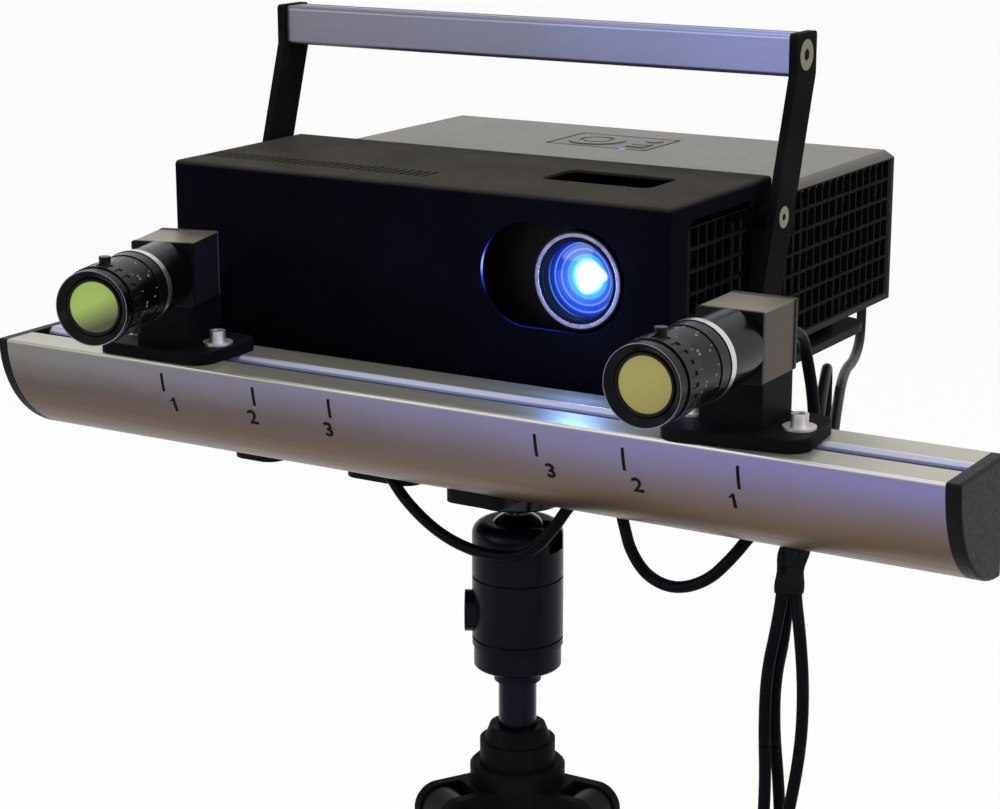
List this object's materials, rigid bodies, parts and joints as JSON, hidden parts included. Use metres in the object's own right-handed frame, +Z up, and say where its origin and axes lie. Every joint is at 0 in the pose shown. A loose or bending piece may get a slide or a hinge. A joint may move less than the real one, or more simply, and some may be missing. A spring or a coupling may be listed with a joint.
{
  "type": "three-d scanner",
  "caption": "Structured-light scanner: hooded projector between two sliding cameras on a quarter-round rail, with handle, cables and compact tripod.",
  "frame": {"origin": "middle of the outline without the cables, on the floor under the tripod", "axes": "+X along the rail to the right seen from the front, -Y the way the lenses look, +Z up"},
  "size_m": [0.472, 0.54, 0.7501],
  "materials": {
    "rail_aluminium": "satin anodised",
    "bar_aluminium": "satin anodised",
    "black_plastic": "fine texture",
    "black_powder": "textured powder coat",
    "black_aluminium": "black powder coat",
    "zinc_screws": "bright zinc",
    "olive_screws": "olive passivated",
    "camera_case": "satin and black anodised",
    "lens_black": "gloss black, engraved",
    "filter_glass": "coated",
    "projector_plastic": "satin grey",
    "projector_black": "satin",
    "grille_black": "satin",
    "lens_glass": "coated, lit",
    "engine_metal": "cast",
    "keypad_grey": "satin",
    "head_black": "black anodised",
    "column_metal": "anodised",
    "leg_black": "anodised",
    "plug_black": "satin",
    "cable_black": "glossy sheath"
  },
  "bodies": {
    "tripod": {"spider": "leg_black", "leg_pivot_bolts": "zinc_screws", "left_camera_cable": "cable_black", "right_camera_cable": "cable_black", "video_cable": "cable_black", "left_camera_coil": "cable_black", "right_camera_coil": "cable_black", "video_coil": "cable_black", "cable_far_plugs": "plug_black"},
    "nut": {"column_nut": "leg_black"},
    "column": {"centre_column": "column_metal", "head_base": "head_black"},
    "head": {"head_housing": "head_black"},
    "knob": {"head_knob": "head_black"},
    "scanner": {"head_ball": "head_black", "release_plate": "head_black", "rail": "rail_aluminium", "rail_caps": "black_plastic", "base_plate": "black_aluminium", "tripod_bracket": "black_aluminium", "hood": "black_aluminium", "handle_bar": "bar_aluminium", "handle_arms": "black_powder", "chassis_screws": "olive_screws", "projector_base": "projector_black", "projector_cover": "projector_plastic", "side_grilles": "grille_black", "rear_panel": "projector_black", "projector_lens_barrel": "lens_black", "projector_glass": "lens_glass", "light_engine": "engine_metal", "projector_video_plug": "plug_black"},
    "projector_focus": {"projector_focus_ring": "lens_black"},
    "fan": {"cooling_fan": "black_plastic"},
    "keypad": {"keypad_pad": "keypad_grey"},
    "power": {"power_button": "keypad_grey"},
    "leg_1": {"leg_upper_1": "leg_black"},
    "foot_1": {"leg_lower_1": "leg_black"},
    "leg_2": {"leg_upper_2": "leg_black"},
    "foot_2": {"leg_lower_2": "leg_black"},
    "leg_3": {"leg_upper_3": "leg_black"},
    "foot_3": {"leg_lower_3": "leg_black"},
    "left_camera": {"left_carriage_plate": "black_powder", "left_plate_screws": "zinc_screws", "left_riser": "black_powder", "left_camera_body": "camera_case", "left_lens_barrel": "lens_black", "left_filter_glass": "filter_glass", "left_camera_plug": "plug_black"},
    "left_iris": {"left_iris_ring": "lens_black"},
    "left_focus": {"left_focus_ring": "lens_black"},
    "right_camera": {"right_carriage_plate": "black_powder", "right_plate_screws": "zinc_screws", "right_riser": "black_powder", "right_camera_body": "camera_case", "right_lens_barrel": "lens_black", "right_filter_glass": "filter_glass", "right_camera_plug": "plug_black"},
    "right_iris": {"right_iris_ring": "lens_black"},
    "right_focus": {"right_focus_ring": "lens_black"}
  },
  "joints": [
    {"name": "leg_fold_1", "type": "hinge", "parent": "tripod", "child": "leg_1", "pos_m": [0.036, -0.02292, 0.4], "axis": [0, 1, 0], "range_deg": [0, 20]},
    {"name": "leg_extend_1", "type": "slide", "parent": "leg_1", "child": "foot_1", "axis": [0.4067, 0, -0.9135], "range_m": [0, 0.25]},
    {"name": "leg_fold_2", "type": "hinge", "parent": "tripod", "child": "leg_2", "pos_m": [-0.018, 0.00826, 0.4], "axis": [-0.866, -0.5, 0], "range_deg": [0, 20]},
    {"name": "leg_extend_2", "type": "slide", "parent": "leg_2", "child": "foot_2", "axis": [-0.2034, 0.3522, -0.9135], "range_m": [0, 0.25]},
    {"name": "leg_fold_3", "type": "hinge", "parent": "tripod", "child": "leg_3", "pos_m": [-0.018, -0.05409, 0.4], "axis": [0.866, -0.5, 0], "range_deg": [0, 20]},
    {"name": "leg_extend_3", "type": "slide", "parent": "leg_3", "child": "foot_3", "axis": [-0.2034, -0.3522, -0.9135], "range_m": [0, 0.25]},
    {"name": "nut_turn", "type": "hinge", "parent": "tripod", "child": "nut", "pos_m": [0, -0.02292, 0.428], "axis": [0, 0, 1], "range_deg": [0, 120]},
    {"name": "column_lift", "type": "slide", "parent": "tripod", "child": "column", "axis": [0, 0, 1], "range_m": [-0.02, 0.15]},
    {"name": "head_pan", "type": "hinge", "parent": "column", "child": "head", "pos_m": [0, -0.02292, 0.477], "axis": [0, 0, 1], "range_deg": [-90, 90]},
    {"name": "knob_turn", "type": "hinge", "parent": "head", "child": "knob", "pos_m": [-0.01797, -0.03329, 0.492], "axis": [-0.866, -0.5, 0], "range_deg": [0, 120]},
    {"name": "head_tilt", "type": "hinge", "parent": "head", "child": "scanner", "pos_m": [0, -0.02292, 0.5235], "axis": [1, 0, 0], "range_deg": [-20, 20], "deforming": ["video_cable"]},
    {"name": "left_camera_slide", "type": "slide", "parent": "scanner", "child": "left_camera", "axis": [1, 0, 0], "range_m": [0, 0.091], "deforming": ["left_camera_cable"]},
    {"name": "right_camera_slide", "type": "slide", "parent": "scanner", "child": "right_camera", "axis": [1, 0, 0], "range_m": [-0.091, 0], "deforming": ["right_camera_cable"]},
    {"name": "left_iris_turn", "type": "hinge", "parent": "left_camera", "child": "left_iris", "pos_m": [-0.12907, -0.13251, 0.6468], "axis": [0.2672, -0.9636, 0], "range_deg": [-60, 60]},
    {"name": "left_focus_turn", "type": "hinge", "parent": "left_camera", "child": "left_focus", "pos_m": [-0.12212, -0.15756, 0.6468], "axis": [0.2672, -0.9636, 0], "range_deg": [-100, 100]},
    {"name": "right_iris_turn", "type": "hinge", "parent": "right_camera", "child": "right_iris", "pos_m": [0.13793, -0.13111, 0.6468], "axis": [0.014, -0.9999, 0], "range_deg": [-60, 60]},
    {"name": "right_focus_turn", "type": "hinge", "parent": "right_camera", "child": "right_focus", "pos_m": [0.1383, -0.15711, 0.6468], "axis": [0.014, -0.9999, 0], "range_deg": [-100, 100]},
    {"name": "projector_focus_turn", "type": "hinge", "parent": "scanner", "child": "projector_focus", "pos_m": [0.0364, -0.02892, 0.651], "axis": [0, -1, 0], "range_deg": [-60, 60]},
    {"name": "fan_spin", "type": "hinge", "parent": "scanner", "child": "fan", "pos_m": [0.066, 0.17908, 0.637], "axis": [1, 0, 0], "continuous": true},
    {"name": "keypad_press", "type": "slide", "parent": "scanner", "child": "keypad", "axis": [0, 0, -1], "range_m": [0, 0.0008], "stiffness_N_per_m": 500, "springref_m": -0.001},
    {"name": "power_press", "type": "slide", "parent": "scanner", "child": "power", "axis": [0, 0, -1], "range_m": [0, 0.0008], "stiffness_N_per_m": 300, "springref_m": -0.001}
  ]
}
